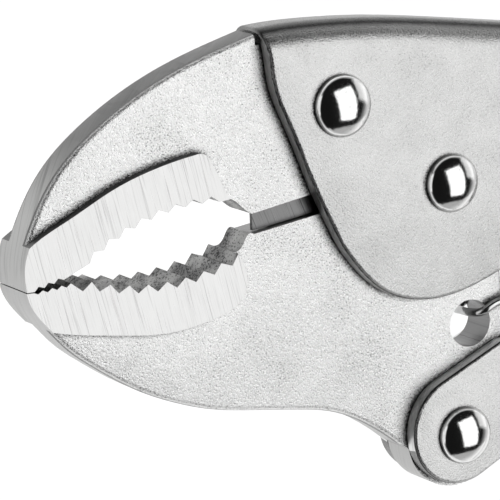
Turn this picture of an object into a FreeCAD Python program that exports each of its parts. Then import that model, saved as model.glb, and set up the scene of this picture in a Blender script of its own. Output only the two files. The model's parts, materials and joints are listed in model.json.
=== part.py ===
import FreeCAD, Part
import math
import os

os.makedirs("parts", exist_ok=True)

# Curved-jaw locking pliers, 250 mm long, lying flat on one side.
# Working frame in millimetres: the origin is the pivot rivet's axis at mid-thickness, X runs along
# the tool from the jaws to the screw, Y up to the fixed handle, Z through the thickness.
# The finished pieces are then moved so that the origin is under the middle of the whole tool.

# Thicknesses, each as half of the full one because every piece is symmetric about mid-thickness
jawHalf = 3.3
padHalf = 5.0
cavityHalf = 3.5
sheet = 2.5
channelHalf = cavityHalf + sheet
linkHalf = 3.0
releaseHalf = 2.5
thumbPadHalf = 5.2

# Joint centres
pivot = (0.0, 0.0)
jawRivetAt = (-21.6, 14.55)
leverRivetAt = (3.3, -43.8)
linkRivetAt = (40.0, -22.3)
linkEndAt = (88.0, 3.0)
releasePinAt = (92.0, -27.0)
springHoleAt = (6.1, -25.2)
springPinAt = (62.0, 12.0)

# Rivets and pins
mainShank = 3.5
mainHead = 5.0
jawRivetHead = 5.25
linkShank = 3.0
linkHead = 4.5
headRim = 0.25
domeRise = 2.55
headShoulder = 1.5
releasePinRadius = 2.0
springPinRadius = 1.5
pinStandOut = 0.3
runningFit = 0.05

# Jaws
bossRadius = 13.0
tangGap = 0.9
heelRadius = 9.6
springHole = 4.1
rimRound = 0.9
bigTeeth = 9
fineTeeth = 4
upperToothDepth = 1.0
lowerToothDepth = 1.3
upperFineDepth = 0.55
lowerFineDepth = 0.5

# Toggle link
linkEye = 5.2
linkWaist = 3.6

# Channels
bendRadius = 4.5
stampedEdge = 0.6
leverBend = 4.0
webStart = 14.0

# Lengths that carry a cut past the piece, along it and through its faces
past = 80.0
pastFaces = 10.0

# How near an edge passes to a place that is meant to lie on it
touching = 0.02

# Screw, its barrel and its knob, measured along the screw's axis from the end of the link
axisFall = 5.5
linkNose = 4.0
openPivotGap = 1.95
dogRadius = 3.2
dogEnd = 25.0
threadRadius = 4.0
threadDepth = 0.65
threadPitch = 1.25
threadEnd = 60.0
threadClearance = 0.1
screwChamfer = 0.6
halfCrest = 0.1
boreLead = 6.0
stemRadius = 3.2
stemEnd = 76.0
barrelRadius = 6.7
barrelFrom = 24.0
barrelTo = 58.0
barrelRound = 1.0
cavityEndX = 110.0
drawIn = [(6.0, 24.0), (14.0, 17.0), (22.0, 11.0), (29.0, 7.8), (36.0, 6.7)]
knobProfile = [(61.5, 5.1), (62.0, 5.6), (63.7, 5.6), (64.9, 7.4), (80.6, 7.4), (81.6, 6.4), (82.0, 4.8)]
knobRadius = 7.4
knurlCount = 40
knurlDepth = 0.55
knurlShape = [(0.0, 0.0), (0.28, 0.0), (0.64, 1.0)]
socketSpare = 0.5

# Tension spring
wireRadius = 0.7
coilRadius = 2.4
coilPitch = 1.95
coilTurns = 19
coilStart = 19.5
hookReach = 4.3
hookLine = [(5.2, -0.4, -1), (3.6, -0.4, -1), (1.6, 0.6, 0), (4.2, 0.4, 1), (8.6, -0.6, 1)]
loopPlay = 0.25
loopEnd = 1.6

# Upper jaw's outline from the nose round its back to the shoulder at the channel
upperPadTop = (-77.8, -4.1)
upperBack = [
    (-78.3, -11.1), (-78.65, -8.6), (-78.5, -6.3), upperPadTop, (-75.1, 2.1), (-71.5, 7.5),
    (-66.0, 12.7), (-58.7, 17.7), (-50.2, 22.0), (-43.0, 24.7), (-36.5, 26.8),
]
tangShoulder = (-36.35, 25.0)
tangFront = (-35.6, 25.05)
tangTop = (-16.0, 25.7)
tangRear = (6.0, 23.85)
tangRearAngle = 66.0
tangSlotAngle = 171.0
upperSlotFront = (-36.9, -2.45)
stopTop = (-36.1, -1.9)
stopFront = (-35.9, -5.55)
stopRearAngle = 186.7
stopDepth = 1.5
stopLip = 0.8
stopReliefTo = -32.6
upperThroat = [upperSlotFront, (-38.4, -1.5), (-39.8, -0.3), (-42.0, 0.6)]
upperTips = [(-43.8, 0.35), (-55.0, -1.1), (-67.3, -7.45)]
upperFine = [(-71.9, -9.6), (-77.0, -11.05)]
upperPadBack = [upperPadTop, (-76.2, -3.0), (-70.5, 0.0), (-63.5, 3.7), (-55.0, 6.8), (-48.3, 8.3)]
upperPadCorner = (-46.5, 8.2)
upperPadHeel = (-45.4, 7.1)

# Lower jaw's outline from the nose along its underside to the heel
lowerPadFoot = (-73.9, -17.9)
lowerBack = [
    (-78.35, -11.25), (-77.75, -13.1), (-76.4, -15.2), lowerPadFoot, (-70.6, -21.3),
    (-66.2, -24.6), (-61.8, -27.4), (-57.2, -29.9), (-50.5, -32.6), (-43.5, -34.5),
    (-36.0, -35.5), (-28.0, -36.4), (-21.0, -37.6), (-14.5, -40.4), (-8.6, -44.3),
]
heelStart = 192.0
heelEnd = 352.0
rearEdge = [(12.3, -34.0), (13.2, -27.5), (13.1, -22.5), (12.3, -16.0)]
bossRearAngle = -38.0
bossSlotAngle = 187.0
lowerSlotFront = (-36.5, -5.85)
lowerThroat = [lowerSlotFront, (-37.5, -5.7), (-38.2, -6.7), (-39.0, -8.0), (-40.4, -8.45)]
lowerTips = [(-40.4, -8.45), (-54.5, -11.85), (-67.0, -10.45)]
lowerFine = [(-70.7, -10.3), (-75.6, -10.95)]
lowerGullet = (-68.6, -11.8)
lowerFineEnd = (-76.4, -11.5)
lowerNoseFlat = (-77.1, -11.25)
lowerPadUnder = [
    lowerPadFoot, (-69.5, -18.75), (-64.2, -19.4), (-58.8, -20.0), (-53.4, -20.2),
    (-47.9, -19.5), (-43.3, -18.3), (-40.4, -16.8), (-39.0, -14.8), (-38.8, -12.0), (-40.4, -8.45),
]

# Fixed handle's outline
handleFront = [
    (-36.2, 27.6), (-34.9, 22.6), (-34.1, 18.2), (-31.8, 12.8), (-28.8, 6.5), (-26.0, 0.2),
    (-23.6, -4.3), (-21.1, -8.8), (-18.0, -12.8), (-14.0, -16.5), (-9.2, -18.8), (-3.2, -19.6),
    (2.8, -18.8), (9.9, -16.3), (20.0, -12.4), (32.0, -8.9), (46.0, -6.3), (60.0, -5.2),
]
handleLowerRear = (116.0, -5.9)
handleTopFront = [(-36.2, 27.6), (-31.0, 28.15), (-24.0, 28.4), (-14.8, 28.3), (-3.0, 27.5), (15.4, 25.7)]
handleTopSlope = (1.0, 0.14)
handleTopRear = [(96.0, 17.9), (104.0, 16.2), (112.0, 11.5), (122.0, 7.4)]

# Lever handle's outline: a round lobe about the rivet, two straight flanks, then the grip
lobeCentre = (2.9, -42.9)
lobeRadius = 9.5
topFlank = 26.0
underFlank = 28.5
topFlankRun = 13.6
underFlankRun = 3.6
leverTop = [
    (20.0, -24.6), (30.0, -20.8), (42.0, -17.3), (55.0, -15.9), (70.0, -16.2), (100.0, -19.8),
    (128.0, -24.4), (152.0, -29.6),
]
leverEnd = [(152.0, -29.6), (158.5, -32.8), (161.0, -38.6), (158.3, -45.6), (151.0, -48.4)]
leverUnder = [
    (151.0, -48.4), (140.0, -46.6), (112.0, -40.9), (84.0, -36.6), (62.0, -35.2), (44.0, -37.0),
    (30.0, -41.0), (20.0, -45.3),
]
leverRearward = (1.0, -0.21)
leverForward = (-1.0, 0.19)
plateRear = [(24.0, -37.0), (24.0, -27.0)]

# Release lever's outline, from its nose over the top to the tail and back underneath
releaseTop = [
    (64.5, -18.2), (66.0, -16.3), (70.0, -17.4), (80.0, -20.8), (91.0, -22.4), (103.0, -20.6),
    (116.0, -17.2), (130.0, -15.7), (144.0, -16.2), (152.5, -18.2),
]
releaseUnder = [
    (152.5, -20.4), (144.0, -19.2), (130.0, -19.4), (117.0, -21.9), (106.0, -27.0), (97.0, -31.0),
    (90.0, -31.4), (82.0, -27.2), (72.0, -21.8), (64.5, -18.2),
]
thumbPadTop = [(128.0, -15.75), (144.0, -16.2), (153.0, -18.3)]
thumbPadThick = 2.2


def point(x, y, z=0.0):
    return FreeCAD.Vector(x, y, z)


def polar(centre, radius, degrees):
    turn = math.radians(degrees)
    return (centre[0] + radius * math.cos(turn), centre[1] + radius * math.sin(turn))


# The two ends of a turn and its middle
def fromTo(first, last):
    return (first, 0.5 * (first + last), last)


def heading(degrees):
    return point(math.cos(math.radians(degrees)), math.sin(math.radians(degrees)))


def curve(points, startDirection=None, endDirection=None):
    spline = Part.BSplineCurve()
    places = [point(x, y) for x, y in points]
    if startDirection is None:
        spline.interpolate(places)
    else:
        spline.interpolate(Points=places, InitialTangent=startDirection, FinalTangent=endDirection)
    return spline


def smooth(points):
    return curve(points).toShape()


def straight(points):
    return [Part.LineSegment(point(*a), point(*b)).toShape() for a, b in zip(points, points[1:])]


def arcOf(a, b, c):
    return Part.Arc(point(*a), point(*b), point(*c))


def slab(edges, half):
    wire = Part.Wire(Part.__sortEdges__(edges))
    solid = Part.Face(wire).extrude(point(0, 0, 2 * half))
    solid.translate(point(0, 0, -half))
    return solid


def disc(centre, radius, half):
    return Part.makeCylinder(radius, 2 * half, point(centre[0], centre[1], -half))


# Rounds the edges that pass through the given places on both faces of a slab
def rounded(solid, radius, half, places):
    probes = [Part.Vertex(x, y, z) for x, y in places for z in (-half, half)]
    edges = [e for e in solid.Edges if any(p.distToShape(e)[0] < touching for p in probes)]
    return solid.makeFillet(radius, edges)


# Tips at even steps along a curve, with a valley set back half-way between each two
def teeth(path, count, depth, side):
    first, last = path.FirstParameter, path.LastParameter
    step = (last - first) / (count - 1)
    points = []
    for index in range(count):
        tip = path.value(first + index * step)
        points.append((tip.x, tip.y))
        if index < count - 1:
            halfway = first + (index + 0.5) * step
            along = path.tangent(halfway)[0]
            back = point(-along.y, along.x)
            back.multiply(math.copysign(depth, side * back.y))
            valley = path.value(halfway) + back
            points.append((valley.x, valley.y))
    return points


# Direction of the screw's axis, which falls a little towards the rear
axisDirection = heading(-axisFall)


def onAxis(distance):
    return point(*linkEndAt) + axisDirection * distance


# A solid turned about the screw's axis from (distance, radius) pairs
def turned(profile):
    closed = profile + [(profile[-1][0], 0.0), (profile[0][0], 0.0), profile[0]]
    wire = Part.makePolygon([point(along, out) for along, out in closed])
    solid = Part.Face(wire).revolve(point(0, 0), point(1, 0), 360)
    solid.rotate(point(0, 0), point(0, 0, 1), -axisFall)
    solid.translate(point(*linkEndAt))
    return solid


# A head on the plane z = 0: a short straight side, a narrow shoulder and a broad crown, all tangent
def rivetHead(head):
    inner = head - headShoulder
    crown = (inner ** 2 + domeRise ** 2 - headShoulder ** 2) / (2 * (domeRise - headShoulder))
    top = headRim + domeRise
    crownCentre = top - crown
    lean = math.atan2(headRim - crownCentre, inner)
    half = math.radians(45) + 0.5 * lean

    def onShoulder(angle):
        return (inner + headShoulder * math.cos(angle), headRim + headShoulder * math.sin(angle))

    def onCrown(angle):
        return (crown * math.cos(angle), crownCentre + crown * math.sin(angle))

    shoulder = arcOf((head, headRim), onShoulder(0.5 * lean), onShoulder(lean))
    dome = arcOf(onCrown(lean), onCrown(half), (0, top))
    edges = straight([(0, top), (0, 0), (head, 0), (head, headRim)]) + [shoulder.toShape(), dome.toShape()]
    profile = Part.Face(Part.Wire(Part.__sortEdges__(edges)))
    solid = profile.revolve(point(0, 0), point(0, 1), 360)
    solid.rotate(point(0, 0), point(1, 0), 90)
    return solid


def domedRivet(centre, shank, head):
    rivet = disc(centre, shank, channelHalf)
    for side in (1, -1):
        cap = rivetHead(head)
        if side < 0:
            cap.rotate(point(0, 0), point(1, 0), 180)
        cap.translate(point(centre[0], centre[1], side * channelHalf))
        rivet = rivet.fuse(cap)
    return rivet.removeSplitter()


def crossPin(centre, radius):
    return disc(centre, radius, channelHalf + pinStandOut)


def upperToothLine():
    big = teeth(arcOf(*upperTips), bigTeeth, upperToothDepth, 1)
    fine = teeth(Part.LineSegment(point(*upperFine[0]), point(*upperFine[1])), fineTeeth, upperFineDepth, 1)
    return [upperThroat[-1]] + big + fine + [upperBack[0]]


def lowerToothLine():
    big = teeth(arcOf(*lowerTips), bigTeeth, lowerToothDepth, -1)
    fine = teeth(Part.LineSegment(point(*lowerFine[0]), point(*lowerFine[1])), fineTeeth, lowerFineDepth, -1)
    return big + [lowerGullet] + fine + [lowerFineEnd, lowerNoseFlat, lowerBack[0]]


def fixedJaw():
    back = curve(upperBack)
    split = back.parameter(point(*upperPadTop))
    nose = back.toShape(back.FirstParameter, split)
    rest = back.toShape(split, back.LastParameter)
    toothEdges = straight(upperToothLine())
    reach = bossRadius + tangGap
    over = [polar(pivot, reach, a) for a in fromTo(tangRearAngle, tangSlotAngle)]
    body = slab(
        [nose, rest]
        + straight([upperBack[-1], tangShoulder, tangFront])
        + [arcOf(tangFront, tangTop, tangRear).toShape()]
        + straight([tangRear, over[0]])
        + [arcOf(*over).toShape()]
        + straight([over[2], upperSlotFront])
        + [smooth(upperThroat)]
        + toothEdges,
        jawHalf,
    )
    pad = slab(
        [nose, smooth(upperPadBack), arcOf(upperPadBack[-1], upperPadCorner, upperPadHeel).toShape()]
        + straight([upperPadHeel, upperThroat[-1]])
        + toothEdges,
        padHalf,
    )
    body = rounded(body.cut(pad), rimRound, jawHalf, [upperBack[6], upperBack[8]])
    # The slot is filled, up to a little below the jaw's face, by a stop that the moving jaw closes on;
    # behind its front lip the stop is relieved
    under = [polar(pivot, reach, a) for a in fromTo(tangSlotAngle, stopRearAngle)]
    stop = slab(
        straight([over[2], stopTop, stopFront, under[2]]) + [arcOf(*under).toShape()],
        jawHalf,
    )
    stopFace = jawHalf - stopDepth
    front = Part.makeBox(past, past, pastFaces, point(-past, -0.5 * past, stopFace))
    behindLip = point(stopReliefTo - past, -0.5 * past, stopFace - stopLip - pastFaces)
    relief = Part.makeBox(past, past, pastFaces, behindLip)
    body = body.fuse([pad, stop.cut(front).cut(relief)])
    return body.cut(disc(jawRivetAt, mainShank, padHalf)).removeSplitter()


def movingJaw():
    back = curve(lowerBack)
    split = back.parameter(point(*lowerPadFoot))
    nose = back.toShape(back.FirstParameter, split)
    rest = back.toShape(split, back.LastParameter)
    toothEdges = straight(lowerToothLine())
    heel = [polar(leverRivetAt, heelRadius, a) for a in fromTo(heelStart, heelEnd)]
    boss = [polar(pivot, bossRadius, a) for a in fromTo(bossRearAngle, bossSlotAngle)]
    inHeel = 2 * point(*heel[0]) - point(*lowerBack[-1])
    front = slab(
        [nose, rest]
        + straight([lowerBack[-1], (inHeel.x, inHeel.y), leverRivetAt, pivot, boss[2], lowerSlotFront])
        + [smooth(lowerThroat)]
        + toothEdges,
        jawHalf,
    )
    rear = slab(
        [arcOf(*heel).toShape(), smooth([heel[2]] + rearEdge + [boss[0]]), arcOf(*boss).toShape()]
        + straight([boss[2], heel[0]]),
        jawHalf,
    )
    pad = slab([nose, smooth(lowerPadUnder)] + toothEdges, padHalf)
    front = rounded(front.cut(pad), rimRound, jawHalf, [lowerBack[6], lowerBack[9]])
    rear = rounded(rear, rimRound, jawHalf, [rearEdge[1]])
    jaw = front.fuse([rear, pad])
    jaw = jaw.cut(disc(pivot, mainShank + runningFit, padHalf))
    jaw = jaw.cut(disc(leverRivetAt, mainShank + runningFit, padHalf))
    return jaw.cut(disc(springHoleAt, springHole, padHalf)).removeSplitter()


def handleTopEdges(drop):
    front = curve(handleTopFront, point(*handleTopSlope), axisDirection)
    rear = curve(handleTopRear, axisDirection, axisDirection)
    edges = [front.toShape()] + straight([handleTopFront[-1], handleTopRear[0]]) + [rear.toShape()]
    return [edge.translated(point(0, -drop)) for edge in edges]


# The space about the screw's axis that the rear of the fixed handle is drawn in to
def drawnInSpace():
    narrowing = smooth(drawIn)
    front, rear = drawIn[0], drawIn[-1]
    behind = barrelTo
    ahead = -2 * past
    outline = [rear, (behind, rear[1]), (behind, 0), (ahead, 0), (ahead, past), (front[0], past), front]
    space = Part.Face(Part.Wire(Part.__sortEdges__([narrowing] + straight(outline))))
    space = space.revolve(point(0, 0), point(1, 0), 360)
    space.rotate(point(0, 0), point(0, 0, 1), -axisFall)
    space.translate(point(*linkEndAt))
    return space


def upperHandle():
    rear = handleTopRear[-1]
    shell = slab(
        handleTopEdges(0.0)
        + straight([rear, (rear[0], handleLowerRear[1]), handleLowerRear, handleFront[-1]])
        + [smooth(handleFront)],
        channelHalf,
    )
    middle = 0.5 * (point(*handleTopFront[-1]) + point(*handleTopRear[0]))
    onTop = [handleTopFront[3], (middle.x, middle.y), handleTopRear[2]]
    shell = rounded(shell, bendRadius, channelHalf, onTop)
    shell = shell.common(drawnInSpace())
    cavityFront = (handleTopFront[0][0], handleTopFront[0][1] - sheet)
    cavityRear = (rear[0], rear[1] - sheet)
    cavity = slab(
        handleTopEdges(sheet)
        + straight([cavityRear, (rear[0], -past), (-past, -past), (-past, cavityFront[1]), cavityFront]),
        cavityHalf,
    )
    reach = Part.makeBox(past + cavityEndX, 2 * past, 2 * pastFaces, point(-past, -past, -pastFaces))
    cavity = cavity.common(reach)
    barrel = Part.makeCylinder(barrelRadius, barrelTo - barrelFrom, onAxis(barrelFrom), axisDirection)
    barrelRim = [e for e in barrel.Edges if e.CenterOfMass.distanceToPoint(onAxis(barrelTo)) < touching]
    barrel = barrel.makeFillet(barrelRound, barrelRim)
    handle = shell.cut(cavity).fuse(barrel)
    boreStart = onAxis(barrelFrom - boreLead)
    holes = [
        Part.makeCylinder(threadRadius + threadClearance, barrelTo, boreStart, axisDirection),
        disc(pivot, mainShank, pastFaces),
        disc(jawRivetAt, mainShank, pastFaces),
        disc(springPinAt, springPinRadius, pastFaces),
    ]
    for hole in holes:
        handle = handle.cut(hole)
    handle = handle.removeSplitter().Solids[0]
    return rounded(handle, stampedEdge, channelHalf, [handleFront[5], handleFront[9], handleFront[14]])


# The lobe with its two flanks, from the end of the lower flank round to the end of the upper one
def lobeEdges():
    under = polar(lobeCentre, lobeRadius, underFlank - 90)
    front = polar(lobeCentre, lobeRadius, 180 + underFlank)
    top = polar(lobeCentre, lobeRadius, topFlank + 90)
    underEnd = point(*under) + heading(underFlank) * underFlankRun
    topEnd = point(*top) + heading(topFlank) * topFlankRun
    edges = straight([(underEnd.x, underEnd.y), under])
    edges.append(arcOf(under, front, top).toShape())
    edges += straight([top, (topEnd.x, topEnd.y)])
    return edges, (underEnd.x, underEnd.y), (topEnd.x, topEnd.y), front


def leverHandle():
    lobe, underEnd, topEnd, front = lobeEdges()
    rearward = point(*leverRearward)
    forward = point(*leverForward)
    top = curve([topEnd] + leverTop, heading(topFlank), rearward).toShape()
    end = curve(leverEnd, rearward, forward).toShape()
    under = curve(leverUnder + [underEnd], forward, heading(180 + underFlank)).toShape()
    trough = slab(lobe + [top, end, under], channelHalf)
    trough = rounded(trough, leverBend, channelHalf, [leverUnder[2], leverUnder[4]])
    ahead = Part.makeBox(past, past, 2 * pastFaces, point(-past, -0.5 * past, -pastFaces))
    between = Part.makeBox(past, past, 2 * cavityHalf, point(-past, -0.5 * past, -cavityHalf))
    for box in (ahead, between):
        box.rotate(point(0, 0), point(0, 0, 1), underFlank)
        box.translate(point(*leverRivetAt) + heading(underFlank) * webStart)
    trough = trough.cut(ahead)
    plates = slab(lobe + straight([underEnd] + plateRear + [topEnd]), channelHalf)
    plates = rounded(plates, stampedEdge, channelHalf, [front])
    frontFloor = underEnd[1] + sheet
    rearFloor = leverUnder[0][1] + sheet
    around = [
        (underEnd[0], frontFloor), (-past, frontFloor), (-past, past), (3 * past, past),
        (3 * past, rearFloor), (leverUnder[0][0], rearFloor),
    ]
    hollow = slab([under.translated(point(0, sheet))] + straight(around), cavityHalf)
    lever = trough.fuse(plates).cut(hollow).cut(between)
    lever = lever.cut(disc(leverRivetAt, mainShank, pastFaces))
    lever = lever.cut(disc(linkRivetAt, linkShank, pastFaces))
    lever = lever.cut(disc(releasePinAt, releasePinRadius, pastFaces))
    return lever.removeSplitter()


def toggleLink():
    along = point(*linkEndAt) - point(*linkRivetAt)
    turn = math.degrees(math.atan2(along.y, along.x))
    halfway = 0.5 * (point(*linkRivetAt) + point(*linkEndAt))
    eye = [polar(linkRivetAt, linkEye, turn + a) for a in (100, 180, 260)]
    nose = [polar(linkEndAt, linkNose, turn + a) for a in (-90, 0, 90)]
    waist = [polar(halfway, linkWaist, turn + a) for a in (-90, 90)]
    link = slab(
        [arcOf(*eye).toShape(), arcOf(*nose).toShape()]
        + [smooth([eye[2], waist[0], nose[0]]), smooth([nose[2], waist[1], eye[0]])],
        linkHalf,
    )
    return link.cut(disc(linkRivetAt, linkShank + runningFit, linkHalf))


def releaseLever():
    tail = straight([releaseTop[-1], releaseUnder[0]])
    blade = slab([smooth(releaseTop)] + tail + [smooth(releaseUnder)], releaseHalf)
    top = smooth(thumbPadTop)
    under = top.translated(point(0, -thumbPadThick))
    front, rear = thumbPadTop[0], thumbPadTop[-1]
    ends = straight([front, (front[0], front[1] - thumbPadThick)])
    ends += straight([rear, (rear[0], rear[1] - thumbPadThick)])
    pad = slab([top, under] + ends, thumbPadHalf)
    lever = blade.fuse(pad)
    return lever.cut(disc(releasePinAt, releasePinRadius + runningFit, thumbPadHalf)).removeSplitter()


def adjustingScrew():
    tip = linkNose + openPivotGap
    profile = [(tip, dogRadius - screwChamfer), (tip + screwChamfer, dogRadius)]
    profile += [(dogEnd - screwChamfer, dogRadius)]
    crest = 0.5 * threadPitch
    turns = int((threadEnd - dogEnd) / threadPitch)
    for turn in range(turns):
        start = dogEnd + turn * threadPitch
        profile += [(start, threadRadius - threadDepth), (start + crest - halfCrest, threadRadius)]
        profile += [(start + crest + halfCrest, threadRadius)]
    profile += [(threadEnd, stemRadius), (stemEnd, stemRadius)]
    return turned(profile)


def screwKnob():
    knobFrom = knobProfile[0][0]
    knobLength = knobProfile[-1][0] - knobFrom
    body = turned(knobProfile)
    step = 360.0 / knurlCount
    star = []
    for index in range(knurlCount):
        for offset, depth in knurlShape:
            around, out = polar((0.0, 0.0), knobRadius - depth * knurlDepth, (index + offset) * step)
            star.append(point(0, around, out))
    knurled = Part.Face(Part.makePolygon(star + star[:1])).extrude(point(knobLength, 0))
    knurled.translate(point(knobFrom, 0))
    knurled.rotate(point(0, 0), point(0, 0, 1), -axisFall)
    knurled.translate(point(*linkEndAt))
    socket = Part.makeCylinder(
        stemRadius + runningFit, stemEnd + socketSpare - knobFrom, onAxis(knobFrom), axisDirection
    )
    return body.common(knurled).cut(socket)


# Two arcs that leave one point in its direction and reach the next in its own
def biarc(start, startAlong, end, endAlong):
    gap = end - start
    both = startAlong + endAlong
    a = 2.0 * (1.0 - startAlong.dot(endAlong))
    b = 2.0 * gap.dot(both)
    square = gap.dot(gap)
    reach = square / b if abs(a) < 1e-6 else (math.sqrt(b * b + 4 * a * square) - b) / (2 * a)
    joint = (start + startAlong * reach + end - endAlong * reach) * 0.5
    return [bend(start, startAlong, joint), bend(end, endAlong * -1, joint)]


# One arc, or a straight run, from a point in a direction to another point
def bend(start, along, end):
    chord = end - start
    side = chord - along * chord.dot(along)
    if side.Length < 1e-4 * chord.Length:
        return Part.LineSegment(start, end).toShape()
    side.normalize()
    radius = chord.dot(chord) / (2.0 * chord.dot(side))
    centre = start + side * radius
    outward = (start + end) * 0.5 - centre
    outward.normalize()
    return Part.Arc(start, centre + outward * abs(radius), end).toShape()


# Centre line of the spring as points with directions: front hook, coil, rear loop
def springLine():
    pull = point(*springPinAt) - point(*springHoleAt)
    length = pull.Length
    pull.normalize()
    across = point(-pull.y, pull.x)
    up = point(0, 0, 1)
    begin = point(*springHoleAt)

    def place(along, offset, height):
        return begin + pull * along + across * offset + up * height

    directions = [pull * -1, pull * -1, up, pull, pull]
    line = [
        (place(along, offset, level * hookReach), direction)
        for (along, offset, level), direction in zip(hookLine, directions)
    ]
    rise = coilPitch / (2 * math.pi * coilRadius)
    for quarter in range(4 * coilTurns + 1):
        turn = math.radians(90 * quarter)
        radial = across * math.cos(turn) + up * math.sin(turn)
        tangent = up * math.cos(turn) - across * math.sin(turn) + pull * rise
        tangent.normalize()
        line.append((place(coilStart + quarter * coilPitch / 4, 0, 0) + radial * coilRadius, tangent))
    eye = springPinRadius + wireRadius + loopPlay
    for degrees in (90, 0, -90):
        turn = math.radians(degrees)
        radial = pull * math.cos(turn) + across * math.sin(turn)
        tangent = pull * math.sin(turn) - across * math.cos(turn)
        line.append((place(length, 0, 0) + radial * eye, tangent))
    line.append((line[-1][0] - pull * loopEnd, pull * -1))
    return line


def tensionSpring():
    line = springLine()
    edges = []
    for (start, startAlong), (end, endAlong) in zip(line, line[1:]):
        edges += biarc(start, startAlong, end, endAlong)
    wire = Part.Wire(edges)
    ring = Part.Wire(Part.makeCircle(wireRadius, line[0][0], line[0][1]))
    print("spring: wire length %.1f mm, least gap to itself %.2f mm" % (wire.Length, leastGap(wire)))
    return wire.makePipeShell([ring], True, False)


# Least distance between the surfaces of stretches of a wire that are not neighbours along it
def leastGap(wire):
    apart = 3.0
    spacing = 0.25
    window = 4.0
    places = wire.discretize(int(wire.Length / spacing))
    skip = int(apart / spacing)
    least = min(
        a.distanceToPoint(b)
        for index, a in enumerate(places)
        for b in places[index + skip:]
        if abs(a.x - b.x) < window
    )
    return least - 2 * wireRadius


pieces = {
    "fixed_jaw": fixedJaw(),
    "moving_jaw": movingJaw(),
    "upper_handle": upperHandle(),
    "lever_handle": leverHandle(),
    "jaw_rivet": domedRivet(jawRivetAt, mainShank, jawRivetHead),
    "pivot_rivet": domedRivet(pivot, mainShank, mainHead),
    "lever_rivet": domedRivet(leverRivetAt, mainShank, mainHead),
    "link_rivet": domedRivet(linkRivetAt, linkShank, linkHead),
    "toggle_link": toggleLink(),
    "release_lever": releaseLever(),
    "release_pin": crossPin(releasePinAt, releasePinRadius),
    "tension_spring": tensionSpring(),
    "spring_pin": crossPin(springPinAt, springPinRadius),
    "adjusting_screw": adjustingScrew(),
    "screw_knob": screwKnob(),
}

# The origin moves to the middle of the tool's box, on the surface that it lies on
box = Part.makeCompound(list(pieces.values())).optimalBoundingBox(False)
shift = point(-box.Center.x, -box.Center.y, -box.ZMin)
for name, piece in pieces.items():
    solid = piece.Solids[0]
    solid.translate(shift)
    solid.exportStep("parts/" + name + ".step")
    print("%s: %.0f mm3, valid %s" % (name, solid.Volume, solid.isValid()))
print("pivot rivet at %.3f, %.3f, %.3f" % (shift.x, shift.y, shift.z))
print("size %.2f x %.2f x %.2f" % (box.XLength, box.YLength, box.ZLength))
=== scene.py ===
import json
import math

import bmesh
import bpy
from mathutils import Matrix, Vector

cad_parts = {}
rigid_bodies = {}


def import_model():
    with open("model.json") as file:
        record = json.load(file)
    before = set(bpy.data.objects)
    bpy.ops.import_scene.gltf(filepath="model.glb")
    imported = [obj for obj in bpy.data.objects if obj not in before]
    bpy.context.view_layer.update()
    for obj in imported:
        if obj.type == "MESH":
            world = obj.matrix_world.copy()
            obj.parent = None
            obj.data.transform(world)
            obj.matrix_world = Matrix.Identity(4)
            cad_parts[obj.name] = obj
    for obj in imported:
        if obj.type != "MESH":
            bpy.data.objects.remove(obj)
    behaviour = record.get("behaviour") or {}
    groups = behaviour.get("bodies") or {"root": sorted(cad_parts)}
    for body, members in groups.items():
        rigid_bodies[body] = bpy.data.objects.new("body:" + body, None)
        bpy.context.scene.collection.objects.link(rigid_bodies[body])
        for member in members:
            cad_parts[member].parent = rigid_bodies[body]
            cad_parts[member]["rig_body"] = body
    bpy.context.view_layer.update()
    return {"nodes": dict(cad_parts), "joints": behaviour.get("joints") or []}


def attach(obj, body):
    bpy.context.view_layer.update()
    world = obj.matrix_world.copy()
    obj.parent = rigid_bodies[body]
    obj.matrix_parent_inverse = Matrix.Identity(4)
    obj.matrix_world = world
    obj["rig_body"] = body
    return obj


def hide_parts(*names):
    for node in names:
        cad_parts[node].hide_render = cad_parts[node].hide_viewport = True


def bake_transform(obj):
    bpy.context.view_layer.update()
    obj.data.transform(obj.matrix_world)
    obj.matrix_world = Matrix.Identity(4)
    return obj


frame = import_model()
cad = frame["nodes"]
print("frame loaded,", len(cad), "nodes")

# Places on the tool are in millimetres from the jaw pivot at mid-thickness; the frame is in metres
perMetre = 1000.0
jawPivot = next(joint for joint in frame["joints"] if joint["name"] == "jaw_pivot")
pivotPlace = Vector(jawPivot["pos_m"]) * perMetre


def toFrame(x, y, z=0.0):
    return (Vector((x, y, z)) + pivotPlace) / perMetre


def fromPivot(place):
    return place * perMetre - pivotPlace


camera = {
    "towards": (-0.4913, 0.1857, 0.8510),  # from the tool to the camera
    "upwards": (0.0928, 0.9826, -0.1608),
    "aim": (-35.357, -9.128, 0.0),
    "distance": 0.5,
    "lens": 219.6,
    "sensor": 36.0,
    "nearest": 0.01,
}


def setCamera(values):
    data = bpy.data.cameras.new("headCamera")
    data.lens = values["lens"]
    data.sensor_width = values["sensor"]
    data.clip_start = values["nearest"]
    stand = bpy.data.objects.new("headCamera", data)
    bpy.context.scene.collection.objects.link(stand)
    back = Vector(values["towards"]).normalized()
    up = Vector(values["upwards"]).normalized()
    side = up.cross(back).normalized()
    up = back.cross(side)
    spot = toFrame(*values["aim"]) + back * values["distance"]
    turn = Matrix((side, up, back)).transposed().to_4x4()
    stand.matrix_world = Matrix.Translation(spot) @ turn
    bpy.context.scene.camera = stand


setCamera(camera)
print("camera set")


# Puts a plain value on a socket, or links another node's output to it
def feed(tree, socket, value):
    if isinstance(value, bpy.types.NodeSocket):
        tree.links.new(value, socket)
    elif socket.type == "RGBA":
        socket.default_value = (*value, 1.0)
    else:
        socket.default_value = value


def addNode(tree, kind, inputs, **settings):
    node = tree.nodes.new(kind)
    for name, value in settings.items():
        setattr(node, name, value)
    for name, value in inputs.items():
        feed(tree, node.inputs[name], value)
    return node


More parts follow.
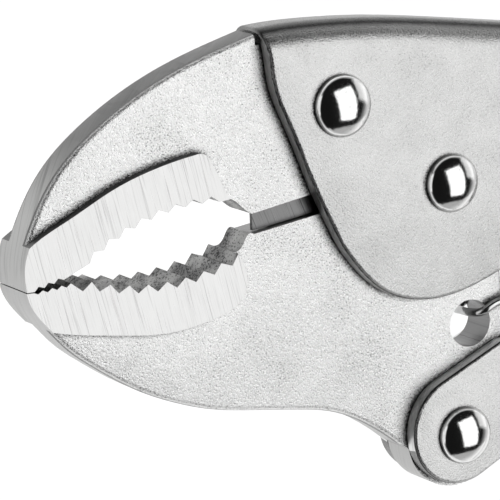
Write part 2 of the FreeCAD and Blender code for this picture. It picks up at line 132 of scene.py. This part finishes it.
def calculate(tree, operation, first, second=0.0, clamp=False):
    inputs = {0: first, 1: second}
    return addNode(tree, "ShaderNodeMath", inputs, operation=operation, use_clamp=clamp).outputs[0]


# 0 until the first value rises over the second, then a ramp up to 1
def rampUp(tree, first, second, steepness):
    return calculate(tree, "MULTIPLY", calculate(tree, "SUBTRACT", first, second), steepness, clamp=True)


def mapRange(tree, value, start, end, low=0.0, high=1.0, kind="LINEAR"):
    inputs = {"Value": value, "From Min": start, "From Max": end, "To Min": low, "To Max": high}
    return addNode(tree, "ShaderNodeMapRange", inputs, interpolation_type=kind).outputs[0]


def makeNoise(tree, where, scale, detail, roughness):
    inputs = {"Vector": where, "Scale": scale, "Detail": detail, "Roughness": roughness}
    return addNode(tree, "ShaderNodeTexNoise", inputs).outputs[0]


def mixColours(tree, mask, first, second, kind="MIX"):
    mix = addNode(tree, "ShaderNodeMix", {"Factor": mask}, data_type="RGBA", blend_type=kind)
    ends = {socket.identifier: socket for socket in mix.inputs}
    feed(tree, ends["A_Color"], first)
    feed(tree, ends["B_Color"], second)
    return next(socket for socket in mix.outputs if socket.identifier == "Result_Color")


def startGroup(name, vectors, numbers):
    tree = bpy.data.node_groups.new(name, "ShaderNodeTree")
    for label in vectors:
        tree.interface.new_socket(label, in_out="INPUT", socket_type="NodeSocketVector")
    for label in numbers:
        tree.interface.new_socket(label, in_out="INPUT", socket_type="NodeSocketFloat")
    return tree, tree.nodes.new("NodeGroupInput").outputs


def endGroup(tree, results):
    for label in results:
        tree.interface.new_socket(label, in_out="OUTPUT", socket_type="NodeSocketFloat")
    addNode(tree, "NodeGroupOutput", results)
    return tree


def useGroup(tree, group, inputs):
    return addNode(tree, "ShaderNodeGroup", inputs, node_tree=group).outputs


grainPattern = {
    "grainDetail": 3.0, "grainRoughness": 0.55,
    "pitDetail": 2.0, "pitRoughness": 0.5, "pitSteepness": 9.0,
    "pitLevel": 0.18, "levelPerShare": 0.6, "levelPerCloud": 0.10,
    "cloudDetail": 2.0, "cloudRoughness": 0.5, "cloudFrom": 0.35, "cloudTo": 0.65,
}


# Fine blasted or satin grain: a height, sparse dark pits and slow clouds
def makeGrainGroup(values):
    numbers = ["Grain Scale", "Pit Scale", "Pit Share", "Cloud Scale"]
    tree, given = startGroup("nickelGrain", ["Vector"], numbers)
    where = given["Vector"]
    height = makeNoise(tree, where, given["Grain Scale"], values["grainDetail"], values["grainRoughness"])
    pits = makeNoise(tree, where, given["Pit Scale"], values["pitDetail"], values["pitRoughness"])
    cloud = makeNoise(tree, where, given["Cloud Scale"], values["cloudDetail"], values["cloudRoughness"])
    cloud = mapRange(tree, cloud, values["cloudFrom"], values["cloudTo"])
    # A pit is where the noise falls under a level that the clouds shift a little
    share = calculate(tree, "MULTIPLY", given["Pit Share"], values["levelPerShare"])
    shift = calculate(tree, "MULTIPLY", cloud, values["levelPerCloud"])
    level = calculate(tree, "ADD", share, calculate(tree, "ADD", shift, values["pitLevel"]))
    pits = rampUp(tree, level, pits, values["pitSteepness"])
    return endGroup(tree, {"Height": height, "Pits": pits, "Cloud": cloud})


# Each kind of mark is noise squeezed across the lines and drawn out along them
linePattern = {
    "fine": {"across": 2600.0, "along": 45.0, "detail": 3.0},
    "broad": {"across": 900.0, "along": 60.0, "detail": 3.0},
    "patch": {"across": 120.0, "along": 90.0, "detail": 1.0},
    "roughness": 0.6,
    "fineShare": 0.6,
    "streakLevel": 0.5, "streakSteepness": 5.0,
    "patchLevel": 0.45, "patchSteepness": 4.0,
    "scratchLevel": 0.46, "scratchSteepness": 7.0,
}


# Straight grinding marks along the given vector's Y
def makeLinesGroup(values):
    tree, given = startGroup("grindingLines", ["Vector"], ["Line Scale"])

    def drawn(mark):
        stretch = {"Vector": given["Vector"], "Scale": (mark["across"], mark["along"], 0.0)}
        squeezed = addNode(tree, "ShaderNodeMapping", stretch).outputs[0]
        return makeNoise(tree, squeezed, given["Line Scale"], mark["detail"], values["roughness"])

    fine, broad, patch = (drawn(values[kind]) for kind in ("fine", "broad", "patch"))
    fineHeight = calculate(tree, "MULTIPLY", fine, values["fineShare"])
    broadHeight = calculate(tree, "MULTIPLY", broad, 1.0 - values["fineShare"])
    height = calculate(tree, "ADD", fineHeight, broadHeight)
    dark = rampUp(tree, values["streakLevel"], broad, values["streakSteepness"])
    patches = rampUp(tree, patch, values["patchLevel"], values["patchSteepness"])
    streaks = calculate(tree, "MULTIPLY", dark, patches)
    scratches = rampUp(tree, values["scratchLevel"], fine, values["scratchSteepness"])
    return endGroup(tree, {"Height": height, "Streaks": streaks, "Scratches": scratches})


creviceSamples = 6


# Dirt and painted shade that gather where two surfaces meet
def makeCreviceGroup(samples):
    tree, given = startGroup("creviceShade", [], ["Reach", "Strength"])
    near = addNode(tree, "ShaderNodeAmbientOcclusion", {"Distance": given["Reach"]}, samples=samples)
    shut = calculate(tree, "SUBTRACT", 1.0, near.outputs["AO"])
    return endGroup(tree, {"Mask": calculate(tree, "MULTIPLY", shut, given["Strength"], clamp=True)})


upwardRange = {"from": 0.35, "to": 0.90}


# Mask is how far a surface leans away from the tool's flat faces, for painted shade on the sides;
# right at the side it lightens again, a painted light rim. Upward is 1 where a side faces the fixed
# handle's back and 0 where it faces the nose or the grip, for painted shade on those sides
def makeSideGroup(upwards):
    tree, given = startGroup("sideOfPiece", ["Normal"], ["Side Until", "Face From", "Rim Light"])
    normal = addNode(tree, "ShaderNodeSeparateXYZ", {0: given["Normal"]}).outputs
    flat = calculate(tree, "ABSOLUTE", normal["Z"])
    lean = mapRange(tree, flat, given["Side Until"], given["Face From"], 1.0, 0.0, "SMOOTHSTEP")
    rim = mapRange(tree, flat, 0.0, given["Side Until"], 1.0, 0.0)
    lighter = calculate(tree, "MULTIPLY", rim, given["Rim Light"])
    mask = calculate(tree, "SUBTRACT", lean, lighter, clamp=True)
    upward = mapRange(tree, normal["Y"], upwards["from"], upwards["to"], kind="SMOOTHSTEP")
    return endGroup(tree, {"Mask": mask, "Upward": upward})


grainGroup = makeGrainGroup(grainPattern)
linesGroup = makeLinesGroup(linePattern)
creviceGroup = makeCreviceGroup(creviceSamples)
sideGroup = makeSideGroup(upwardRange)
print("grain, lines and shade made")


def startMaterial(name):
    material = bpy.data.materials.new(name)
    material.use_nodes = True
    tree = material.node_tree
    shader = tree.nodes["Principled BSDF"]
    shader.inputs["Metallic"].default_value = 1.0
    return material, tree, shader, tree.nodes.new("ShaderNodeTexCoord").outputs


# The height raises the bump and moves the roughness about its middle
def coverShader(tree, shader, tint, height, values):
    feed(tree, shader.inputs["Base Color"], tint)
    swing = calculate(tree, "MULTIPLY", height, values["roughSpread"])
    lowest = values["roughness"] - 0.5 * values["roughSpread"]
    feed(tree, shader.inputs["Roughness"], calculate(tree, "ADD", swing, lowest))
    bump = {"Height": height, "Strength": values["bump"], "Distance": values["bumpDepth"]}
    feed(tree, shader.inputs["Normal"], addNode(tree, "ShaderNodeBump", bump).outputs[0])


cornerSteepness = 4.0


# Shot-blasted or satin nickel: grain in the height, dark pits, slow clouds, dirt and painted shade in
# corners, painted shade on sides
def makeGrained(name, values):
    material, tree, shader, where = startMaterial(name)
    grain = useGroup(tree, grainGroup, {
        "Vector": where["Object"], "Grain Scale": values["grainScale"], "Pit Scale": values["pitScale"],
        "Pit Share": values["pitShare"], "Cloud Scale": values["cloudScale"],
    })
    corner = useGroup(tree, creviceGroup, {
        "Reach": values["cornerReach"], "Strength": values["cornerStrength"],
    })
    side = useGroup(tree, sideGroup, {
        "Normal": where["Normal"], "Side Until": values["sideUntil"],
        "Face From": values["faceFrom"], "Rim Light": values["rimLight"],
    })
    tint = mixColours(tree, grain["Cloud"], values["light"], values["shade"])
    pits = calculate(tree, "MULTIPLY", grain["Pits"], values["pitDarkness"])
    tint = mixColours(tree, pits, tint, values["pitColour"])
    # Dirt and painted shade crowd towards a corner: the grain's low spots turn dark first
    dirtAndShade = calculate(tree, "MULTIPLY", corner["Mask"], values["cornerDirtAndShade"])
    dirtAndShade = rampUp(tree, dirtAndShade, grain["Height"], cornerSteepness)
    tint = mixColours(tree, dirtAndShade, tint, values["pitColour"])
    # Painted shade on the sides, with a painted light rim right at the side
    tint = mixColours(tree, side["Mask"], tint, values["sideShade"], "MULTIPLY")
    coverShader(tree, shader, tint, grain["Height"], values)
    return material


# Ground steel: the turn lays its straight marks across the mouth, the tilt brings them out on walls
def makeGround(name, values):
    material, tree, shader, where = startMaterial(name)
    turned = addNode(tree, "ShaderNodeMapping", {
        "Vector": where["Object"],
        "Rotation": (0.0, math.radians(values["tilt"]), math.radians(values["turn"])),
    })
    lines = useGroup(tree, linesGroup, {"Vector": turned.outputs[0], "Line Scale": values["lineScale"]})
    side = useGroup(tree, sideGroup, {"Normal": where["Normal"]})
    streaks = calculate(tree, "MULTIPLY", lines["Streaks"], values["streakDarkness"])
    tint = mixColours(tree, streaks, values["light"], values["shade"])
    scratches = calculate(tree, "MULTIPLY", lines["Scratches"], values["scratchDarkness"])
    tint = mixColours(tree, scratches, tint, values["shade"])
    # Painted shade: sides that face the fixed handle's back come out darker
    tint = mixColours(tree, side["Upward"], tint, values["upwardShade"], "MULTIPLY")
    coverShader(tree, shader, tint, lines["Height"], values)
    return material


# Grain, pit and cloud scales count spots to the metre, and lineScale is a factor.
# Reaches and bump depths are in metres, turns and tilts in degrees
# In each finish, sideShade is painted shade on the sides and rimLight a painted light rim
blastedFinish = {
    "light": (0.99, 0.99, 0.985), "shade": (0.95, 0.95, 0.945), "pitColour": (0.12, 0.12, 0.12),
    "roughness": 0.28, "roughSpread": 0.12,
    "grainScale": 3600.0, "pitScale": 3300.0, "pitShare": 0.25, "cloudScale": 110.0, "pitDarkness": 0.8,
    "cornerReach": 0.0015, "cornerStrength": 1.0, "cornerDirtAndShade": 2.0,
    "sideUntil": 0.35, "faceFrom": 0.80, "sideShade": (0.16, 0.16, 0.16), "rimLight": 0.0,
    "bump": 1.0, "bumpDepth": 0.00012,
}
satinFinish = {
    "light": (0.68, 0.68, 0.675), "shade": (0.63, 0.63, 0.625), "pitColour": (0.22, 0.22, 0.22),
    "roughness": 0.28, "roughSpread": 0.10,
    "grainScale": 3600.0, "pitScale": 3000.0, "pitShare": 0.22, "cloudScale": 140.0, "pitDarkness": 0.5,
    "cornerReach": 0.0008, "cornerStrength": 1.0, "cornerDirtAndShade": 1.0,
    "sideUntil": 0.50, "faceFrom": 0.95, "sideShade": (0.015, 0.015, 0.015), "rimLight": 0.32,
    "bump": 0.8, "bumpDepth": 0.00009,
}
toothFinish = {
    "light": (0.44, 0.44, 0.435), "shade": (0.18, 0.18, 0.18), "pitColour": (0.02, 0.02, 0.02),
    "roughness": 0.45, "roughSpread": 0.3,
    "grainScale": 3000.0, "pitScale": 2600.0, "pitShare": 0.42, "cloudScale": 260.0, "pitDarkness": 0.9,
    "cornerReach": 0.0010, "cornerStrength": 0.8, "cornerDirtAndShade": 0.6,
    "sideUntil": 0.35, "faceFrom": 0.75, "sideShade": (1.0, 1.0, 1.0), "rimLight": 0.0,
    "bump": 1.0, "bumpDepth": 0.00016,
}
# Painted shade: the step walls under the pads take a dark copy of the teeth's finish
stepShadeFinish = dict(toothFinish, light=(0.16, 0.16, 0.16), shade=(0.08, 0.08, 0.08), pitShare=0.34)
brightFinish = {
    "light": (0.86, 0.86, 0.855), "shade": (0.82, 0.82, 0.815), "pitColour": (0.25, 0.25, 0.25),
    "roughness": 0.10, "roughSpread": 0.06,
    "grainScale": 2400.0, "pitScale": 2600.0, "pitShare": 0.14, "cloudScale": 300.0, "pitDarkness": 0.6,
    "cornerReach": 0.0005, "cornerStrength": 1.0, "cornerDirtAndShade": 0.8,
    "sideUntil": 0.05, "faceFrom": 0.45, "sideShade": (0.30, 0.30, 0.30), "rimLight": 0.0,
    "bump": 0.35, "bumpDepth": 0.00003,
}
wireFinish = dict(
    brightFinish, light=(0.74, 0.74, 0.74), shade=(0.60, 0.60, 0.60), roughness=0.20, roughSpread=0.12,
    sideShade=(0.7, 0.7, 0.7),
)
screwFinish = dict(
    satinFinish, light=(0.74, 0.74, 0.735), shade=(0.62, 0.62, 0.62), roughness=0.30,
    grainScale=2600.0, cornerReach=0.0012, cornerDirtAndShade=1.4, bump=0.2, sideShade=(0.7, 0.7, 0.7),
)
padFinish = {
    "light": (0.73, 0.73, 0.725), "shade": (0.40, 0.40, 0.40), "upwardShade": (1.0, 1.0, 1.0),
    "roughness": 0.30, "roughSpread": 0.3, "turn": -16.0, "tilt": 0.0, "lineScale": 1.25,
    "streakDarkness": 0.3, "scratchDarkness": 0.7, "bump": 1.0, "bumpDepth": 0.00004,
}
# Painted shade: the slot between the jaws, its ground stop and the spring's hole take a dark copy of the
# pads' finish
slotShadeFinish = dict(padFinish, light=(0.22, 0.22, 0.22), shade=(0.06, 0.06, 0.06), turn=-24.0, lineScale=1.3)
# The ground rims are darker, partly their own ground finish and partly painted shade; upwardShade is
# painted shade on the rims that face the fixed handle's back
rimFinish = {
    "light": (0.47, 0.47, 0.465), "shade": (0.14, 0.14, 0.14), "upwardShade": (0.28, 0.28, 0.28),
    "roughness": 0.34, "roughSpread": 0.3, "turn": 0.0, "tilt": 50.0, "lineScale": 1.0,
    "streakDarkness": 0.8, "scratchDarkness": 0.4, "bump": 0.8, "bumpDepth": 0.00004,
}
cutFinish = dict(
    rimFinish, light=(0.80, 0.80, 0.795), shade=(0.24, 0.24, 0.24), upwardShade=(1.0, 1.0, 1.0),
    bump=0.5, bumpDepth=0.00003,
)

blasted = makeGrained("blastedNickel", blastedFinish)
satin = makeGrained("satinNickel", satinFinish)
toothRough = makeGrained("toothFlanks", toothFinish)
stepShade = makeGrained("padStepShade", stepShadeFinish)
bright = makeGrained("brightNickel", brightFinish)
wireSteel = makeGrained("springWire", wireFinish)
turnedNickel = makeGrained("turnedNickel", screwFinish)
padGround = makeGround("groundPad", padFinish)
slotShadeGround = makeGround("slotFloorShade", slotShadeFinish)
rimGround = makeGround("groundRim", rimFinish)
cutEdge = makeGround("shearedEdge", cutFinish)
print("finishes made")

meshRules = {
    "sameSpot": 1e-7,  # corners nearer than this, in metres, are one
    "sameFace": math.radians(0.3),  # triangles that turn less than this are one face
    "crease": math.radians(24.0),  # an edge that turns further stays sharp
    "wireCrease": math.radians(50.0),
}


# The node's triangles as one closed mesh
def mergedCopy(node):
    work = bmesh.new()
    work.from_mesh(cad[node].data)
    bmesh.ops.remove_doubles(work, verts=work.verts, dist=meshRules["sameSpot"])
    return work


def smoothShade(work, crease):
    for face in work.faces:
        face.smooth = True
    for edge in work.edges:
        edge.smooth = len(edge.link_faces) == 2 and edge.calc_face_angle(0.0) < crease


def placePiece(name, work, finishes):
    mesh = bpy.data.meshes.new(name)
    for finish in finishes:
        mesh.materials.append(finish)
    work.to_mesh(mesh)
    work.free()
    piece = bpy.data.objects.new(name, mesh)
    bpy.context.scene.collection.objects.link(piece)
    return piece


def standFor(piece, node):
    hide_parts(node)
    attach(piece, cad[node]["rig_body"])


# Each face of the node gets the finish that its kind of surface has
def dressNode(node, finishes, surfaceOf):
    work = mergedCopy(node)
    bmesh.ops.dissolve_limit(
        work, angle_limit=meshRules["sameFace"], use_dissolve_boundaries=False,
        verts=work.verts, edges=work.edges, delimit={"NORMAL"},
    )
    smoothShade(work, meshRules["crease"])
    kinds = list(finishes)
    for face in work.faces:
        face.material_index = kinds.index(surfaceOf(face))
    standFor(placePiece(node + "Dressed", work, finishes.values()), node)


# Levels are heights over mid-thickness, and the normals' limits say which way a face looks
jawLayout = {
    "padLevel": 4.9,  # the ground pads stand out past this
    "stepLevel": 3.2,  # the step under the pads starts here
    "mouth": (-77.7, -36.2),  # along the tool, from the nose to the slot
    "noseRim": 3.5,  # so much of the mouth's front has no step
    "upperTeethUnder": 1.3,
    "lowerTeethOver": -14.0,
    "toothLean": 0.3,
    "stopLevel": 1.8,  # the ground stop in the slot between the jaws
    "stopWithin": 0.1,
    "slot": (-36.7, -12.0),
    "slotHeight": (-6.2, -1.0),
    "slotWallNormal": 0.8,
    "slotEndReach": 1.0,
    "holeAt": (6.1, -25.2),  # the spring's hole in the moving jaw
    "holeReach": 4.4,
    "faceNormal": 0.9,
    "edgeNormal": 0.05,
}
jawFinishes = {
    "skin": blasted, "pad": padGround, "tooth": toothRough,
    "step": stepShade, "rim": rimGround, "slot": slotShadeGround,
}


def within(value, limits):
    return limits[0] < value < limits[1]


def isSlot(face, spot):
    if abs(face.normal.z) > jawLayout["faceNormal"]:
        return abs(spot.z - jawLayout["stopLevel"]) < jawLayout["stopWithin"]
    inSlot = within(spot.y, jawLayout["slotHeight"]) and within(spot.x, jawLayout["slot"])
    return inSlot and abs(face.normal.y) > jawLayout["slotWallNormal"]


def isTooth(face, spot, lower):
    if not within(spot.x, jawLayout["mouth"]):
        return False
    if lower:
        return face.normal.y > -jawLayout["toothLean"] and spot.y > jawLayout["lowerTeethOver"]
    return face.normal.y < jawLayout["toothLean"] and spot.y < jawLayout["upperTeethUnder"]


def isStep(spot):
    slotEnd = abs(spot.x - jawLayout["slot"][0]) < jawLayout["slotEndReach"]
    if slotEnd and within(spot.y, jawLayout["slotHeight"]):
        return True
    underPad = jawLayout["stepLevel"] < abs(spot.z) < jawLayout["padLevel"]
    return underPad and spot.x > jawLayout["mouth"][0] + jawLayout["noseRim"]


def jawSurface(face, lower):
    spot = fromPivot(face.calc_center_median())
    flat = abs(face.normal.z)
    if flat > jawLayout["faceNormal"] and abs(spot.z) > jawLayout["padLevel"]:
        return "pad"
    if isSlot(face, spot):
        return "slot"
    if flat > jawLayout["edgeNormal"]:
        return "skin"
    # The spring's hole walls take the slot's dark finish, painted shade
    if math.dist(spot.xy, jawLayout["holeAt"]) < jawLayout["holeReach"]:
        return "slot"
    if isTooth(face, spot, lower):
        return "tooth"
    return "step" if isStep(spot) else "rim"


def dressJaw(node, lower):
    dressNode(node, jawFinishes, lambda face: jawSurface(face, lower))


channelLayout = {
    "wallLevel": 3.6,  # the sheared edges of the walls lie past this
    "edgeNormal": 0.2,
    "edgeLean": 0.35,
}
channelFinishes = {"sheet": satin, "edge": cutEdge}


# The sheared edges look towards the channel's open side: down on the upper handle, up on the lever
def channelSurface(face, openSide):
    inWall = abs(fromPivot(face.calc_center_median()).z) > channelLayout["wallLevel"]
    upright = abs(face.normal.z) < channelLayout["edgeNormal"]
    outward = face.normal.y * openSide > -channelLayout["edgeLean"]
    return "edge" if inWall and upright and outward else "sheet"


def dressChannel(node, openSide):
    dressNode(node, channelFinishes, lambda face: channelSurface(face, openSide))


dressJaw("fixed_jaw", lower=False)
dressJaw("moving_jaw", lower=True)
dressChannel("upper_handle", openSide=-1)
dressChannel("lever_handle", openSide=1)
print("jaws and channels dressed")


# The spring's wire, merged and smooth shaded, stands in for the CAD node in its frame place
def stretchSpring():
    work = mergedCopy("tension_spring")
    smoothShade(work, meshRules["wireCrease"])
    wire = placePiece("tensionWire", work, [wireSteel])
    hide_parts("tension_spring")
    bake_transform(wire)


crossPins = {
    "release_pin": {"at": (92.0, -27.0), "radius": 2.0, "half": 6.3, "chamfer": 0.35, "steps": 48},
    "spring_pin": {"at": (62.0, 12.0), "radius": 1.5, "half": 6.3, "chamfer": 0.3, "steps": 48},
}


# A pin with chamfered ends, turned from its half section
def turnPin(node, values):
    work = bmesh.new()
    x, y = values["at"]
    out, top, cut = values["radius"], values["half"], values["chamfer"]
    section = [
        (0.0, -top), (out - cut, -top), (out, cut - top),
        (out, top - cut), (out - cut, top), (0.0, top),
    ]
    corners = [work.verts.new(toFrame(x + across, y, level)) for across, level in section]
    edges = [work.edges.new(pair) for pair in zip(corners, corners[1:])]
    bmesh.ops.spin(
        work, geom=corners + edges, cent=toFrame(x, y), axis=(0.0, 0.0, 1.0),
        angle=math.tau, steps=values["steps"], use_merge=True, use_duplicate=False,
    )
    bmesh.ops.remove_doubles(work, verts=work.verts, dist=meshRules["sameSpot"])
    bmesh.ops.recalc_face_normals(work, faces=work.faces)
    smoothShade(work, meshRules["crease"])
    standFor(placePiece(node + "Turned", work, [bright]), node)


# These nodes keep their CAD shape and only get a finish
plainFinishes = {
    "jaw_rivet": bright, "pivot_rivet": bright, "lever_rivet": bright, "link_rivet": bright,
    "toggle_link": satin, "release_lever": satin,
    "adjusting_screw": turnedNickel, "screw_knob": turnedNickel,
}


def setFinish(node, finish):
    for slot in cad[node].material_slots:
        slot.material = finish


stretchSpring()
for node, values in crossPins.items():
    turnPin(node, values)
for node, finish in plainFinishes.items():
    setFinish(node, finish)
print("small pieces finished")

studio = {
    "floorSize": 12.0,
    "floorPaint": (0.86, 0.86, 0.86),
    "floorFaint": (0.3, 0.3, 0.3),  # takes the shadow that the camera sees on the glowing floor
    "floorGlow": 0.93,
    "skyDark": 0.008,
    "horizonPale": 0.75,
    "horizonTop": 0.45,
}
white = (1.0, 1.0, 1.0)

# Each panel hangs in the sky between four directions, given by their x and y, anticlockwise from above
panels = {
    "softBox": {
        "corners": ((0.72, -0.46), (0.61, 0.51), (-0.09, 0.44), (0.19, -0.57)),
        "strength": 1.3, "soft": 0.03,
    },
    "leftStrip": {
        "corners": ((-0.74, -0.50), (-0.70, 0.50), (-0.85, 0.52), (-0.86, -0.50)),
        "strength": 0.7, "soft": 0.10,
    },
    "rightPanel": {
        "corners": ((0.985, -0.16), (0.76, 0.645), (0.63, 0.64), (0.80, 0.02)),
        "strength": 0.75, "soft": 0.10,
    },
    "lowPanel": {
        "corners": ((-0.35, -0.936), (0.97, -0.24), (0.345, -0.70), (-0.15, -0.81)),
        "strength": 0.45, "soft": 0.05,
    },
}


# Camera, glossy and transmission rays see a white floor with its shadow, other rays see plain paint
def paintFloor():
    material = bpy.data.materials.new("paleFloor")
    material.use_nodes = True
    tree = material.node_tree
    tree.nodes.remove(tree.nodes["Principled BSDF"])
    paint = addNode(tree, "ShaderNodeBsdfDiffuse", {"Color": studio["floorPaint"]})
    faint = addNode(tree, "ShaderNodeBsdfDiffuse", {"Color": studio["floorFaint"]})
    glow = addNode(tree, "ShaderNodeEmission", {"Color": white, "Strength": studio["floorGlow"]})
    seen = addNode(tree, "ShaderNodeAddShader", {0: faint.outputs[0], 1: glow.outputs[0]})
    ray = tree.nodes.new("ShaderNodeLightPath").outputs
    direct = calculate(tree, "MAXIMUM", ray["Is Camera Ray"], ray["Is Glossy Ray"])
    direct = calculate(tree, "MAXIMUM", direct, ray["Is Transmission Ray"])
    mix = addNode(tree, "ShaderNodeMixShader", {0: direct, 1: paint.outputs[0], 2: seen.outputs[0]})
    feed(tree, tree.nodes["Material Output"].inputs["Surface"], mix.outputs[0])
    return material


def makeFloor():
    work = bmesh.new()
    bmesh.ops.create_grid(work, x_segments=1, y_segments=1, size=0.5 * studio["floorSize"])
    placePiece("floor", work, [paintFloor()])


def skyDirection(spot):
    x, y = spot
    return Vector((x, y, math.sqrt(max(0.0, 1.0 - x * x - y * y))))


# The panel's light: full between its four edges, each a plane through the tool
def panelLight(tree, towards, values):
    corners = [skyDirection(spot) for spot in values["corners"]]
    light = values["strength"]
    for first, second in zip(corners, corners[1:] + corners[:1]):
        sides = {0: towards, 1: first.cross(second).normalized()}
        inside = addNode(tree, "ShaderNodeVectorMath", sides, operation="DOT_PRODUCT").outputs["Value"]
        edge = calculate(tree, "MULTIPLY", inside, 1.0 / values["soft"], clamp=True)
        light = calculate(tree, "MULTIPLY", edge, light)
    return light


# A dark sky over a pale horizon, with the panels in it; the camera itself sees white
def makeSky():
    world = bpy.data.worlds.new("studioSky")
    bpy.context.scene.world = world
    world.use_nodes = True
    tree = world.node_tree
    towards = tree.nodes.new("ShaderNodeTexCoord").outputs["Generated"]
    rise = addNode(tree, "ShaderNodeSeparateXYZ", {0: towards}).outputs["Z"]
    light = mapRange(
        tree, rise, 0.0, studio["horizonTop"], studio["horizonPale"], studio["skyDark"], "SMOOTHSTEP"
    )
    for values in panels.values():
        light = calculate(tree, "ADD", light, panelLight(tree, towards, values))
    ray = tree.nodes.new("ShaderNodeLightPath").outputs
    back = tree.nodes["Background"].inputs
    feed(tree, back["Color"], white)
    feed(tree, back["Strength"], calculate(tree, "MAXIMUM", ray["Is Camera Ray"], light))


makeFloor()
makeSky()
print("studio set")

bpy.context.scene.view_settings.view_transform = "Standard"
